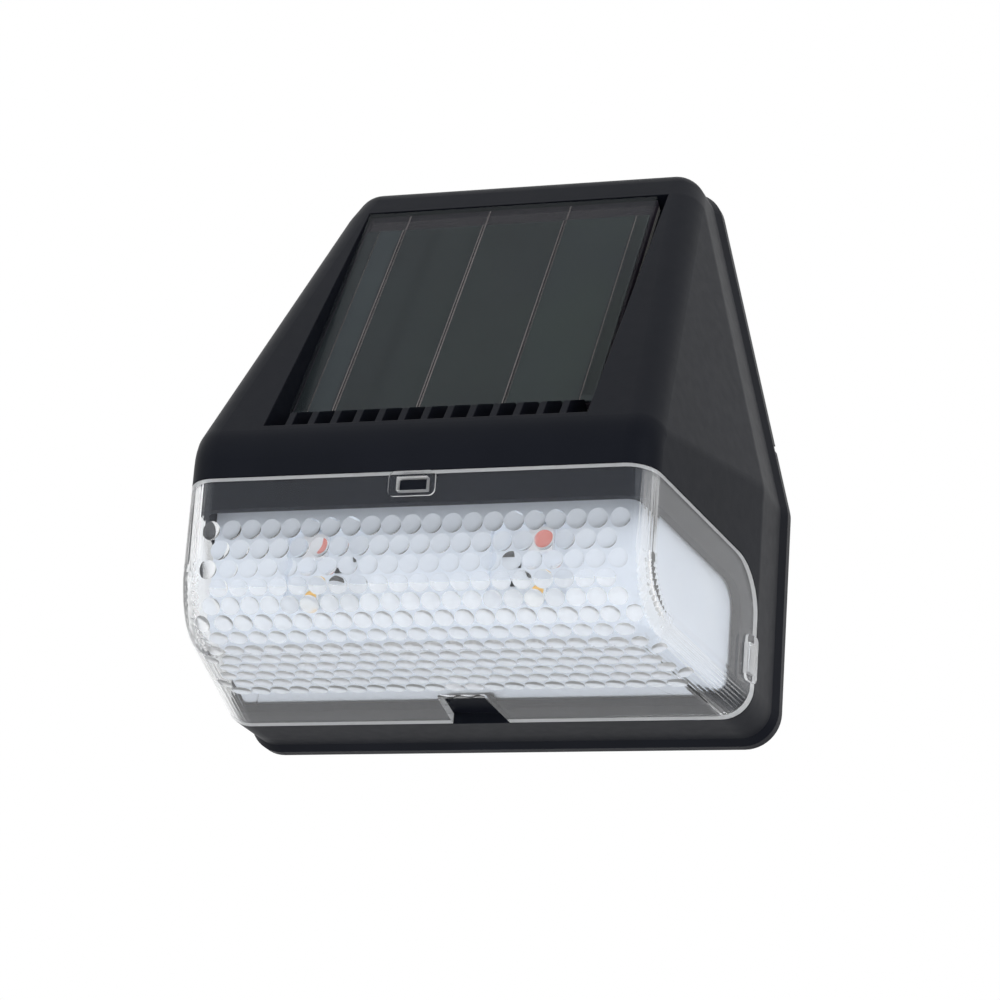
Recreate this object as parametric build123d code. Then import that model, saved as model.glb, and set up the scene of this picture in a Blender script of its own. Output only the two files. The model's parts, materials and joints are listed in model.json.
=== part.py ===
from build123d import *
import os
from math import cos, radians, sin, tan

# Solar fence light: a wedge-shaped housing that hangs flat on a fence or wall, with a
# solar panel in its slope, a clear snap-on lens round its lower front, and a back cover
# that carries the battery, the control board and the mode button.
# Millimetres. X runs to the right seen from the front, Y runs into the wall, Z is up.
# Sizes are worked out with y = 0 at the wall and z = 0 at the lowest edge of the rim;
# save() then moves every piece so that the origin lies midway between the keyholes.

# ---- housing: outer form ----
overall_width = 100.0        # across the rim against the wall
rim_proud = 0.9              # how far the rim stands out round the body
rim_depth = 2.2
rim_blend = 2.0              # length of the slope between rim and body
body_depth = 60.9            # wall to front face
slope_tilt = 35.2            # degrees by which the slope leans back from upright
top_width = 65.7
top_land = 6.5               # upper edge of the panel to the flat top
front_width = 82.2
slab_depth = 16.8            # part against the wall whose sides are straight
fold_front = 39.3            # height of the fold under the slope, at the front
fold_back = 43.1             # height of the same fold on the straight sides
underside_rise = 4.9         # how much the lens underside climbs to the front
edge_radius = 5.5            # every outer edge of the body
front_bottom_radius = 14.0   # large curve from the lens front to its underside
fold_radius = 10.0
housing_wall = 2.4

# ---- seam between housing and lens ----
seam_front = 32.8            # height of the seam at the front face
seam_back = 27.5             # height it would have at the slab
seam_corner_radius = 10.0
seam_gap = 0.15
lens_wall = 1.8
lip_clearance = 0.2          # between lens and lip
lip_wall = 1.5
lip_length = 5.0             # how far the lip reaches inside the lens
lip_root = 3.0               # how far it runs back under the housing wall

# ---- snap windows of the lens ----
window_length = 5.4
window_width = 2.4
frame_length = 8.3
frame_width = 4.4
frame_proud = 0.5
frame_corner = 1.1
window_seam_offset = 2.45    # seam to the middle of a window
side_window_height = 11.0
barb_clearance = 0.3
barb_sink = 0.5              # how far below the lens surface a barb ends
notch_inner_width = 8.6      # notch in the rear edge of the lens underside
notch_outer_width = 10.6
notch_depth = 11.8
tongue_length = 7.5          # how far the lip runs forward over that notch

# ---- reflector ----
reflector_clearance = 0.4    # between lip and reflector
reflector_wall = 1.2
lamp_depth = 9.8             # lens front to the front of the reflector
reflector_setback = 1.0      # below the seam
led_window_width = 14.0
led_window_shift = 2.0       # its middle lies this far inboard of the LEDs
led_window_margin = 0.9      # above and below the LEDs
led_window_corner = 2.0

# ---- light board ----
led_board_width = 62.0
led_board_height = 16.0
led_board_thickness = 1.0
led_board_bottom = 11.6
led_spacing = 40.5           # left LEDs to right LEDs
warm_led_height = 14.2
rgb_led_height = 23.0
warm_led_size = 2.8
rgb_led_size = 4.2
led_thickness = 1.3
resistor_length = 1.6
resistor_width = 0.8
resistor_thickness = 0.5
stake_radius = 1.0
stake_head_radius = 1.9
stake_head_thickness = 0.8
stake_clearance = 0.1
stake_spacing = 20.0

# ---- solar panel ----
panel_width = 55.7
panel_length = 58.7
panel_left_gap = 0.15        # the panel lies to the left in its recess
panel_right_gap = 2.2
panel_tilt = 30.5            # degrees from upright, steeper than the slope
panel_top_sink = 0.1         # upper edge of the panel below the slope
substrate_thickness = 1.2
face_thickness = 0.9
cell_thickness = 0.3
cell_margin = 0.5
cell_gap = 0.3
cell_band = 4.8              # bare strip above the cells
ribbon_width = 0.2
ribbon_thickness = 0.1
bus_inset = 3.0              # outer bus lines, in from the panel's edges
first_gap = 7.9              # left edge of the panel to the first gap between cells
cell_pitch = 15.6
adhesive_thickness = 1.1
adhesive_width = 5.0
recess_gap = 0.3             # above the panel
recess_floor = 1.8
recess_land = 4.3            # up the slope, from the fold to the recess's lower edge
trough_width = 10.4          # lower edge of the panel to that edge
lead_hole_radius = 3.0
lead_hole_place = 30.0       # up from the lower edge of the panel

# ---- drain comb under the panel ----
comb_count = 13
comb_pitch = 4.1
comb_width = 1.2
comb_gap = 0.3               # between comb and panel edge
comb_flat = 4.0              # part of each fin that lies along the slope
comb_sink = 0.2              # that part below the slope
comb_rise = 0.4              # foot of a fin's ramp above the panel's face

# ---- back cover ----
cover_thickness = 2.4
cover_clearance = 0.25
gasket_thickness = 1.0
gasket_width = 2.0
gasket_clearance = 0.3
ledge_thickness = 1.6
ledge_width = 2.6
pry_notch_height = 56.0
pry_notch_size = 1.4

# ---- cover screws ----
boss_radius = 3.2
boss_inset = 8.6             # from the outer surface
boss_length = 11.6
boss_rib = 2.0
screw_radius = 1.25
screw_clearance = 0.05
screw_length = 9.0
screw_head_radius = 2.4
screw_head_height = 1.3
screw_slot_length = 3.2
screw_slot_width = 0.6
pilot_extra = 1.0            # how much deeper than its screw a pilot hole is
cover_hole_clearance = 0.25

# ---- keyholes ----
keyhole_height = 72.0        # height of the entry holes, and of the origin
keyhole_spacing = 50.0
keyhole_entry_radius = 4.25
keyhole_slot_radius = 2.2
keyhole_travel = 8.0
keyhole_room = 1.3           # round the screw head
keyhole_depth = 4.5
keyhole_wall = 1.2

# ---- mode button and switch ----
button_height = 62.0
button_radius = 4.0
button_clearance = 0.4
button_sink = 0.5            # below the back face
button_edge = 0.5
button_flange_radius = 5.8
button_flange_thickness = 1.0
button_flange_gap = 0.1
button_post_radius = 1.6
button_travel = 0.5
switch_size = 6.2
switch_thickness = 3.5
plunger_radius = 1.7
plunger_clearance = 0.1
plunger_height = 1.4         # above the switch body
plunger_engagement = 0.8     # inside the switch body at rest

# ---- control board ----
board_width = 42.0
board_height = 36.0
board_thickness = 1.6
switch_drop = 12.0           # the switch below the middle of the board
board_distance = 13.0        # wall to the face with the switch
standoff_radius = 2.6
standoff_inset = 3.6
board_screw_radius = 0.8
board_screw_length = 6.0
board_screw_head_radius = 1.7
board_screw_head_height = 1.2
ic_length = 4.9
ic_width = 3.9
ic_thickness = 1.5
inductor_height = 4.5
inductor_core_radius = 2.2
inductor_flange_radius = 3.2
inductor_flange = 0.8
capacitor_height = 5.5
capacitor_radius = 2.5
chip_pitch = 3.2

# ---- battery ----
battery_radius = 7.1
battery_length = 49.0
battery_nub_radius = 2.7
battery_nub_length = 1.0
battery_height = 24.0
tape_thickness = 0.8
holder_wall = 1.2
holder_clearance = 0.2
holder_wrap = 14.6           # depth of the cradle over the battery
contact_thickness = 0.5
contact_width = 10.0
tab_width = 3.0
tab_length = 2.4
spring_length = 4.5
spring_radius = 3.0
spring_wire_radius = 0.35
spring_turns = 4

# ---- leads ----
lead_radius = 0.6
lead_exit = 11.5             # straight stretch square to what a lead is soldered to
lead_pitch = 2.4             # between leads that run side by side
lead_edge = 3.0              # solder joints, in from the lower edge of the control board
battery_lead_inset = 12.0    # solder joints of the battery leads, from the middle

REACH = 200.0                # longer than anything in the model
PAST = 1.0                   # how far a cutting shape runs past a face

# ---- derived sizes: the slope and the panel in it ----
slope_normal = Vector(0, -cos(radians(slope_tilt)), sin(radians(slope_tilt)))
slope_up = Vector(0, sin(radians(slope_tilt)), cos(radians(slope_tilt)))
panel_normal = Vector(0, -cos(radians(panel_tilt)), sin(radians(panel_tilt)))
panel_up = Vector(0, sin(radians(panel_tilt)), cos(radians(panel_tilt)))
recess_edge = Vector(0, -body_depth, fold_front) + slope_up * recess_land
panel_run = trough_width + panel_length + panel_top_sink * slope_normal.dot(panel_up)
panel_top_edge = recess_edge + slope_up * (panel_run / slope_up.dot(panel_up)) - slope_normal * panel_top_sink
body_top = panel_top_edge.Z + top_land
top_depth = body_depth - (body_top - fold_front) * tan(radians(slope_tilt))
recess_width = panel_width + panel_left_gap + panel_right_gap
panel_shift = (panel_left_gap - panel_right_gap) / 2

# ---- other derived sizes ----
body_half = overall_width / 2 - rim_proud
reflector_front = body_depth - lamp_depth
reflector_depth = lens_wall + lip_clearance + lip_wall + reflector_clearance
board_centre_height = button_height + switch_drop
cover_inner = -cover_thickness
ledge_face = cover_inner - gasket_thickness
board_back = -board_distance
board_front = board_back - board_thickness
screw_seat = -screw_head_height - screw_clearance
screw_tip = screw_seat - screw_length
side_normal = Vector(body_depth - slab_depth, front_width / 2 - body_half, 0).normalized()
lean_normal = Vector(body_top - fold_back, 0, body_half - top_width / 2).normalized()


def save(shape, name):
    """Move a piece, or each piece of a group, into the frame of the keyholes and write it."""
    moved = [Pos(0, 0, -keyhole_height) * solid for solid in shape.solids()]
    piece = moved[0] if len(moved) == 1 else Compound(moved)
    export_step(piece, "parts/" + name + ".step")


def yz(point):
    """A flat point of the side view, as y and z."""
    return Vector(0, point.X, point.Y)


def offset_polygon(points, insets):
    """Move each edge of a polygon, given anticlockwise, inward by its own inset."""
    lines = []
    for index, start in enumerate(points):
        end = points[(index + 1) % len(points)]
        along = (Vector(*end) - Vector(*start)).normalized()
        inward = Vector(-along.Y, along.X)
        lines.append((Vector(*start) + inward * insets[index], along))
    corners = []
    for index in range(len(lines)):
        (p, d), (q, e) = lines[index - 1], lines[index]
        reach = ((q.X - p.X) * e.Y - (q.Y - p.Y) * e.X) / (d.X * e.Y - d.Y * e.X)
        corners.append((p.X + d.X * reach, p.Y + d.Y * reach))
    return corners


def rounded_face(points, radii, place):
    """A flat face with its own radius at each corner; place() puts the points in space."""
    corners = []
    for index, radius in enumerate(radii):
        point = Vector(*points[index])
        if radius <= 0:
            corners.append((point, None, point))
            continue
        back = (Vector(*points[index - 1]) - point).normalized()
        ahead = (Vector(*points[(index + 1) % len(points)]) - point).normalized()
        half = radians(back.get_angle(ahead) / 2)
        centre = point + (back + ahead).normalized() * (radius / sin(half))
        middle = centre + (point - centre).normalized() * radius
        run = radius / tan(half)
        corners.append((point + back * run, middle, point + ahead * run))
    edges = []
    for index, (start, middle, end) in enumerate(corners):
        if middle is not None:
            edges.append(ThreePointArc(place(start), place(middle), place(end)))
        edges.append(Line(place(end), place(corners[(index + 1) % len(corners)][0])))
    return Face(Wire(edges))


def make_core():
    """The body drawn in by the edge radius; growing it back rounds every edge alike."""
    behind = edge_radius * 3
    points = [
        (behind, body_top),
        (-top_depth, body_top),
        (-body_depth, fold_front),
        (-body_depth, rim_proud + underside_rise),
        (-slab_depth, rim_proud),
        (behind, rim_proud),
    ]
    corners = offset_polygon(points, [edge_radius] * 5 + [0])
    radii = [0, 0, fold_radius - edge_radius, front_bottom_radius - edge_radius, 0, 0]
    body = extrude(rounded_face(corners, radii, yz), overall_width, dir=(1, 0, 0), both=True)
    front_corner = Vector(front_width / 2, -body_depth, fold_front)
    slab_corner = Vector(body_half, -slab_depth, fold_back)
    top_corner = Vector(top_width / 2, -top_depth, body_top)
    facet_normal = (top_corner - front_corner).cross(slab_corner - front_corner).normalized()
    facet_normal = facet_normal * (1 if facet_normal.X > 0 else -1)
    sides = [
        (slab_corner, Vector(1, 0, 0)),
        (slab_corner, side_normal),
        (slab_corner, lean_normal),
        (slab_corner, facet_normal),
    ]
    for point, normal in sides:
        plane = Plane(origin=point - normal * edge_radius, z_dir=normal)
        outside = plane * Box(2 * REACH, 2 * REACH, REACH, align=(Align.CENTER, Align.CENTER, Align.MIN))
        body = body - outside - mirror(outside, about=Plane.YZ)
    return body


core = make_core()
skins = {}


def slice_y(front, back):
    """A slab of space between two distances, measured as y."""
    return Pos(0, (front + back) / 2, 0) * Box(2 * REACH, back - front, 2 * REACH)


def skin(depth):
    """The whole body, solid, with its surface the given depth below the outer one."""
    if depth not in skins:
        grown = offset(core, amount=edge_radius - depth, kind=Kind.ARC)
        skins[depth] = grown & slice_y(-REACH, 0)
    return skins[depth]


def layer(outer_depth, inner_depth):
    """The shell between two depths below the outer surface."""
    return skin(outer_depth) - skin(inner_depth)


def lens_zone(grow):
    """The room in front of and below the seam, grown past the seam or drawn back from it."""
    ahead = body_depth + REACH / 4
    seam_slope = (seam_front - seam_back) / (body_depth - slab_depth)
    points = [
        (-slab_depth, -REACH / 4),
        (-slab_depth, seam_back),
        (-ahead, seam_front + seam_slope * (ahead - body_depth)),
        (-ahead, -REACH / 4),
    ]
    corners = offset_polygon(points, [-grow, -grow, 0, 0])
    face = rounded_face(corners, [0, seam_corner_radius + grow, 0, 0], yz)
    return extrude(face, REACH / 2, dir=(1, 0, 0), both=True)


def half_width_at(height):
    """Half the body's width on the straight sides, at a height."""
    return body_half - max(height - fold_back, 0) * lean_normal.Z / lean_normal.X


def cylinder_y(x, z, front, back, radius):
    """A round bar along Y."""
    place = Plane(origin=(x, front, z), z_dir=(0, 1, 0))
    return place * Cylinder(radius, back - front, align=(Align.CENTER, Align.CENTER, Align.MIN))


def box_between(low, high):
    """A box given by two opposite corners."""
    size = [high[axis] - low[axis] for axis in range(3)]
    middle = [(high[axis] + low[axis]) / 2 for axis in range(3)]
    return Pos(*middle) * Box(*size)


def both_sides(shape):
    """A shape and its mirror image on the other side."""
    return shape + mirror(shape, about=Plane.YZ)


# ---- places on the panel: x across, y up the slope, z out of its face ----
panel_plane = Plane(origin=panel_top_edge - panel_up * panel_length, x_dir=(1, 0, 0), z_dir=panel_normal)
recess_edge_place = -trough_width
slope_plane = Plane(origin=recess_edge, x_dir=(1, 0, 0), z_dir=slope_normal)
panel_thickness = substrate_thickness + face_thickness
floor_level = -(panel_thickness + adhesive_thickness)
cell_level = -face_thickness


def panel_box(x_low, x_high, up_low, up_high, out_low, out_high):
    """A box in the panel's own directions."""
    return panel_plane * box_between((x_low, up_low, out_low), (x_high, up_high, out_high))


# ---- snap windows: a plane on the lens surface for each ----
top_window_plane = Plane(
    origin=(0, -body_depth, seam_front - window_seam_offset), x_dir=(1, 0, 0), z_dir=(0, -1, 0)
)
side_window_y = -slab_depth - window_seam_offset
side_window_x = body_half - window_seam_offset * -side_normal.Y / side_normal.X
right_window_plane = Plane(
    origin=(side_window_x, side_window_y, side_window_height), x_dir=(0, 0, 1), z_dir=side_normal
)


def on_windows(shape):
    """Repeat a shape drawn on the lens surface at the top window and both side windows."""
    right = right_window_plane * shape
    return (top_window_plane * shape) + right + mirror(right, about=Plane.YZ)


def rounded_block(length, width, radius, low, high):
    """An upright block with rounded corners, from one level to another."""
    face = RectangleRounded(length, width, radius)
    return Pos(0, 0, low) * extrude(face, high - low)


def make_rim():
    """The rim against the wall and the slope that leads from it to the body."""
    band = skin(-rim_proud) & slice_y(-rim_depth, 0)
    wide = skin(-rim_proud) & slice_y(-rim_depth - PAST, -rim_depth)
    narrow = skin(0) & slice_y(-rim_depth - rim_blend - PAST, -rim_depth - rim_blend)
    wide_face = wide.faces().sort_by(Axis.Y)[-1]
    narrow_face = narrow.faces().sort_by(Axis.Y)[-1]
    return band + loft([narrow_face, wide_face], ruled=True)


def boss_places():
    """Centres of the four cover screws, as x and z."""
    low = rim_proud + boss_inset
    high = body_top - boss_inset
    low_x = body_half - boss_inset - boss_radius
    high_x = half_width_at(high) - boss_inset
    return [(-low_x, low), (low_x, low), (-high_x, high), (high_x, high)]


def make_bosses():
    """Screw bosses behind the cover, each tied to the nearest wall by a rib."""
    bosses = None
    for x, z in boss_places():
        front = cover_inner - boss_length
        wall_z = rim_proud + housing_wall / 2 if z < keyhole_height else body_top - housing_wall / 2
        rib_low, rib_high = sorted((z, wall_z))
        rib = box_between((x - boss_rib / 2, front, rib_low), (x + boss_rib / 2, ledge_face, rib_high))
        boss = cylinder_y(x, z, front, cover_inner, boss_radius) + rib
        bosses = boss if bosses is None else bosses + boss
    return bosses


def make_comb():
    """Thirteen fins across the drain trough between the panel and the recess edge."""
    inside_wall = -recess_floor / 2
    inside_floor = floor_level - recess_floor / 2
    corners = [
        panel_plane.from_local_coords(Vector(0, -comb_gap, inside_floor)),
        panel_plane.from_local_coords(Vector(0, -comb_gap, comb_rise)),
        slope_plane.from_local_coords(Vector(0, comb_flat, -comb_sink)),
        slope_plane.from_local_coords(Vector(0, inside_wall, -comb_sink)),
        panel_plane.from_local_coords(Vector(0, recess_edge_place + inside_wall, inside_floor)),
    ]
    face = make_face(Polyline(*corners, close=True))
    fin = extrude(face, comb_width / 2, dir=(1, 0, 0), both=True)
    middle = (comb_count - 1) / 2
    return [Pos((index - middle) * comb_pitch, 0, 0) * fin for index in range(comb_count)]


def make_housing():
    """The moulded housing: shell, rim, panel recess, drain comb, lens lip and bosses."""
    shell = skin(0) + make_rim() - skin(housing_wall)
    shell -= lens_zone(0)
    half = recess_width / 2
    top = panel_length + recess_gap
    floor_back = floor_level - recess_floor
    tub = panel_box(-half - recess_floor, half + recess_floor,
                    recess_edge_place - recess_floor, top + recess_floor, floor_back, REACH)
    shell += tub & skin(0)
    shell -= panel_box(-half, half, recess_edge_place, top, floor_level, REACH)
    shell -= panel_plane * Pos(0, lead_hole_place, floor_level) * Cylinder(lead_hole_radius, 4 * recess_floor)
    for fin in make_comb():
        shell += fin
    lip_depth = lens_wall + lip_clearance
    lip_band = lens_zone(lip_root) - lens_zone(-lip_length)
    tongue_half = notch_inner_width / 2
    tongue = box_between((-tongue_half, -slab_depth - tongue_length, 0), (tongue_half, -slab_depth, seam_back / 2))
    shell += layer(lip_depth, lip_depth + lip_wall) & (lip_band + tongue)
    barb_length = window_length - 2 * barb_clearance
    barb_width = window_width - 2 * barb_clearance
    shell += on_windows(box_between((-barb_length / 2, -barb_width / 2, -lip_depth - lip_wall / 2),
                                    (barb_length / 2, barb_width / 2, -barb_sink)))
    ledge = layer(housing_wall / 2, housing_wall + ledge_width)
    shell += ledge & slice_y(ledge_face - ledge_thickness, ledge_face)
    shell += make_bosses()
    for x, z in boss_places():
        shell -= cylinder_y(x, z, screw_tip - pilot_extra, PAST, screw_radius + screw_clearance)
    notch_x = half_width_at(pry_notch_height) + rim_proud
    notch = Pos(notch_x, 0, pry_notch_height) * Box(pry_notch_size, 2 * pry_notch_size, pry_notch_size)
    return shell - both_sides(notch)


def make_lens_cover():
    """The clear lens: front, sides and underside in one, with snap windows and a notch."""
    lens = layer(0, lens_wall) & lens_zone(-seam_gap)
    frame = rounded_block(frame_length, frame_width, frame_corner, -lens_wall / 2, frame_proud)
    lens += on_windows(frame)
    lens -= on_windows(Box(window_length, window_width, 6 * lens_wall))
    front = slab_depth + notch_depth
    half_in = notch_inner_width / 2
    half_out = notch_outer_width / 2
    outline = Polyline((-half_in, -front), (half_in, -front), (half_out, -slab_depth),
                       (half_out, 0), (-half_out, 0), (-half_out, -slab_depth), close=True)
    notch = Pos(0, 0, -seam_back / 2) * extrude(make_face(outline), seam_back)
    return lens - notch


def make_reflector():
    """The white tray inside the lens, with windows for the LEDs and two heat stakes."""
    outer = skin(reflector_depth) & slice_y(-reflector_front, 0)
    inner = skin(reflector_depth + reflector_wall) & slice_y(-reflector_front + reflector_wall, 0)
    tray = (outer - inner) & lens_zone(-reflector_setback)
    window_low = warm_led_height - warm_led_size / 2 - led_window_margin
    window_high = rgb_led_height + rgb_led_size / 2 + led_window_margin
    window_x = led_spacing / 2 - led_window_shift
    window_plane = Plane(origin=(window_x, -reflector_front, (window_low + window_high) / 2),
                         x_dir=(1, 0, 0), z_dir=(0, -1, 0))
    window = rounded_block(led_window_width, window_high - window_low, led_window_corner,
                           -reflector_wall - PAST, PAST)
    tray -= both_sides(window_plane * window)
    for x in (-stake_spacing / 2, stake_spacing / 2):
        z = led_board_bottom + led_board_height / 2
        board_rear = -reflector_front + reflector_wall + led_board_thickness
        head_end = board_rear + stake_head_thickness
        tray += cylinder_y(x, z, -reflector_front + reflector_wall / 2, head_end, stake_radius)
        tray += cylinder_y(x, z, board_rear, head_end, stake_head_radius)
    return tray


def make_light_board():
    """The white circuit board behind the reflector and what is soldered to it."""
    front = -reflector_front + reflector_wall
    rear = front + led_board_thickness
    half = led_board_width / 2
    top = led_board_bottom + led_board_height
    board = box_between((-half, front, led_board_bottom), (half, rear, top))
    for x in (-stake_spacing / 2, stake_spacing / 2):
        z = led_board_bottom + led_board_height / 2
        board -= cylinder_y(x, z, front - PAST, rear + PAST, stake_radius + stake_clearance)
    save(board, "led_board")

    def chip(x, z, width, height, thickness):
        return box_between((x - width / 2, front - thickness, z - height / 2),
                           (x + width / 2, front, z + height / 2))

    led_x = led_spacing / 2
    warm = [chip(s * led_x, warm_led_height, warm_led_size, warm_led_size, led_thickness) for s in (-1, 1)]
    rgb = [chip(s * led_x, rgb_led_height, rgb_led_size, rgb_led_size, led_thickness) for s in (-1, 1)]
    save(Compound(warm), "warm_white_leds")
    save(Compound(rgb), "rgb_leds")
    inner_x = led_x - warm_led_size - resistor_length
    resistors = []
    for side in (-1, 1):
        for step in range(2):
            z = warm_led_height + (1 + 2 * step) * resistor_length
            resistors.append(chip(side * inner_x, z, resistor_length, resistor_width, resistor_thickness))
    save(Compound(resistors), "led_resistors")


def make_panel():
    """The solar panel, from its backing board to the clear face, and its adhesive."""
    left = panel_shift - panel_width / 2
    right = panel_shift + panel_width / 2
    substrate = panel_box(left, right, 0, panel_length, -panel_thickness, cell_level)
    save(substrate, "panel_substrate")

    low = cell_margin
    high = panel_length - cell_band
    gaps = [left + first_gap + index * cell_pitch for index in range(3)]
    starts = [left + cell_margin] + [gap + cell_gap / 2 for gap in gaps]
    ends = [gap - cell_gap / 2 for gap in gaps] + [right - cell_margin]
    cells = [panel_box(a, b, low, high, cell_level, cell_level + cell_thickness)
             for a, b in zip(starts, ends)]
    save(Compound(cells), "solar_cells")

    level = cell_level + cell_thickness
    lines = []
    for gap in gaps:
        for side in (-1, 1):
            middle = gap + side * (cell_gap + ribbon_width) / 2
            lines.append((middle, low, panel_length - low if side > 0 else high))
    for edge in (left + bus_inset, right - bus_inset):
        lines.append((edge, low, high))
    ribbons = [panel_box(x - ribbon_width / 2, x + ribbon_width / 2, a, b, level, level + ribbon_thickness)
               for x, a, b in lines]
    save(Compound(ribbons), "cell_ribbons")

    face = panel_box(left, right, 0, panel_length, cell_level, 0)
    for piece in cells + ribbons:
        face -= piece
    save(face, "panel_face")

    outer = panel_box(left, right, 0, panel_length, floor_level, -panel_thickness)
    inner = panel_box(left + adhesive_width, right - adhesive_width, adhesive_width,
                      panel_length - adhesive_width, floor_level, -panel_thickness)
    save(outer - inner, "panel_adhesive")


def keyhole_centres():
    return [(-keyhole_spacing / 2, keyhole_height), (keyhole_spacing / 2, keyhole_height)]


def standoff_places():
    """Centres of the four board screws, as x and z."""
    half_x = board_width / 2 - standoff_inset
    half_z = board_height / 2 - standoff_inset
    return [(sx * half_x, board_centre_height + sz * half_z) for sx in (-1, 1) for sz in (-1, 1)]


def make_back_cover():
    """The cover plate with keyholes in sealed pockets, standoffs and the button hole."""
    cover = skin(housing_wall + cover_clearance) & slice_y(cover_inner, 0)
    pocket_half = keyhole_entry_radius + keyhole_room
    pocket_end = cover_inner - keyhole_depth
    for x, z in keyhole_centres():
        low = z - pocket_half
        high = z + keyhole_travel + pocket_half
        wall = keyhole_wall
        cover += box_between((x - pocket_half - wall, pocket_end - wall, low - wall),
                             (x + pocket_half + wall, cover_inner, high + wall))
        cover -= box_between((x - pocket_half, pocket_end, low), (x + pocket_half, cover_inner, high))
        cover -= cylinder_y(x, z, cover_inner, PAST, keyhole_entry_radius)
        cover -= cylinder_y(x, z + keyhole_travel, cover_inner, PAST, keyhole_slot_radius)
        cover -= box_between((x - keyhole_slot_radius, cover_inner, z),
                             (x + keyhole_slot_radius, PAST, z + keyhole_travel))
    for x, z in standoff_places():
        cover += cylinder_y(x, z, board_back, cover_inner, standoff_radius)
        cover -= cylinder_y(x, z, board_back - PAST, board_front + board_screw_length + pilot_extra,
                            board_screw_radius + screw_clearance)
    cover -= cylinder_y(0, button_height, cover_inner - PAST, PAST, button_radius + button_clearance)
    for x, z in boss_places():
        cover -= cylinder_y(x, z, cover_inner - PAST, PAST, screw_radius + cover_hole_clearance)
        cover -= cylinder_y(x, z, screw_seat, PAST, screw_head_radius + cover_hole_clearance)
    return cover


def make_cover_screws():
    """Four pan-head screws through the cover into the housing bosses."""
    screws = []
    for x, z in boss_places():
        head = cylinder_y(x, z, screw_seat, screw_seat + screw_head_height, screw_head_radius)
        shank = cylinder_y(x, z, screw_tip, screw_seat, screw_radius)
        slot = Pos(x, 0, z) * Box(screw_slot_length, screw_head_height, screw_slot_width)
        cross = Pos(x, 0, z) * Box(screw_slot_width, screw_head_height, screw_slot_length)
        screws.append(head + shank - slot - cross)
    return Compound(screws)


def make_board_screws():
    """Four small screws that hold the control board to the cover's standoffs."""
    screws = []
    for x, z in standoff_places():
        head = cylinder_y(x, z, board_front - board_screw_head_height, board_front, board_screw_head_radius)
        shank = cylinder_y(x, z, board_front, board_front + board_screw_length, board_screw_radius)
        screws.append(head + shank)
    return Compound(screws)


def make_cover_gasket():
    """The soft ring squeezed between the cover and the ledge."""
    depth = housing_wall + gasket_clearance
    return layer(depth, depth + gasket_width) & slice_y(ledge_face, cover_inner)


def make_button():
    """The rubber button, its flange behind the cover and the post to the switch."""
    flange_back = cover_inner - button_flange_gap
    flange_front = flange_back - button_flange_thickness
    post_end = board_back + switch_thickness + plunger_height
    cap = cylinder_y(0, button_height, flange_back, -button_sink, button_radius)
    cap = fillet(cap.edges().sort_by(Axis.Y)[-1], button_edge)
    flange = cylinder_y(0, button_height, flange_front, flange_back, button_flange_radius)
    post = cylinder_y(0, button_height, post_end, flange_front, button_post_radius)
    return cap + flange + post


def make_switch():
    """The switch body and the plunger that the button pushes into it."""
    top = board_back + switch_thickness
    half = switch_size / 2
    body = box_between((-half, board_back, button_height - half), (half, top, button_height + half))
    recess = plunger_engagement + 2 * button_travel
    body -= cylinder_y(0, button_height, top - recess, top + PAST, plunger_radius + plunger_clearance)
    save(body, "switch_body")
    plunger = cylinder_y(0, button_height, top - plunger_engagement, top + plunger_height, plunger_radius)
    save(plunger, "switch_plunger")


def make_control_board():
    """The control board and the parts on its front face."""
    half_x = board_width / 2
    half_z = board_height / 2
    mid = board_centre_height
    board = box_between((-half_x, board_front, mid - half_z), (half_x, board_back, mid + half_z))
    for x, z in standoff_places():
        board -= cylinder_y(x, z, board_front - PAST, board_back + PAST,
                            board_screw_radius + cover_hole_clearance)
    save(board, "control_board")

    def part(x, z, width, height, thickness):
        return box_between((x - width / 2, board_front - thickness, z - height / 2),
                           (x + width / 2, board_front, z + height / 2))

    upper = mid + half_z / 3
    lower = mid - half_z / 3
    save(part(-half_x / 2, upper, ic_length, ic_width, ic_thickness), "control_ic")
    top = board_front - inductor_height
    drum = cylinder_y(half_x / 2, upper, top, board_front, inductor_core_radius)
    drum += cylinder_y(half_x / 2, upper, board_front - inductor_flange, board_front, inductor_flange_radius)
    drum += cylinder_y(half_x / 2, upper, top, top + inductor_flange, inductor_flange_radius)
    save(drum, "boost_inductor")
    save(cylinder_y(half_x / 2, lower, board_front - capacitor_height, board_front, capacitor_radius),
         "filter_capacitor")
    chips = [part(-half_x / 2 + (index - 1) * chip_pitch, lower, resistor_width, resistor_length,
                  resistor_thickness) for index in range(4)]
    save(Compound(chips), "chip_resistors")


# ---- battery and its holder ----
tape_front = cover_inner - tape_thickness
battery_y = tape_front - holder_wall - battery_radius - holder_clearance
holder_open = tape_front - holder_wrap
cell_room = battery_length + battery_nub_length + spring_length + 2 * contact_thickness
room_left = -cell_room / 2
room_right = cell_room / 2
battery_left = room_left + contact_thickness + spring_length
battery_right = battery_left + battery_length


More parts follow.
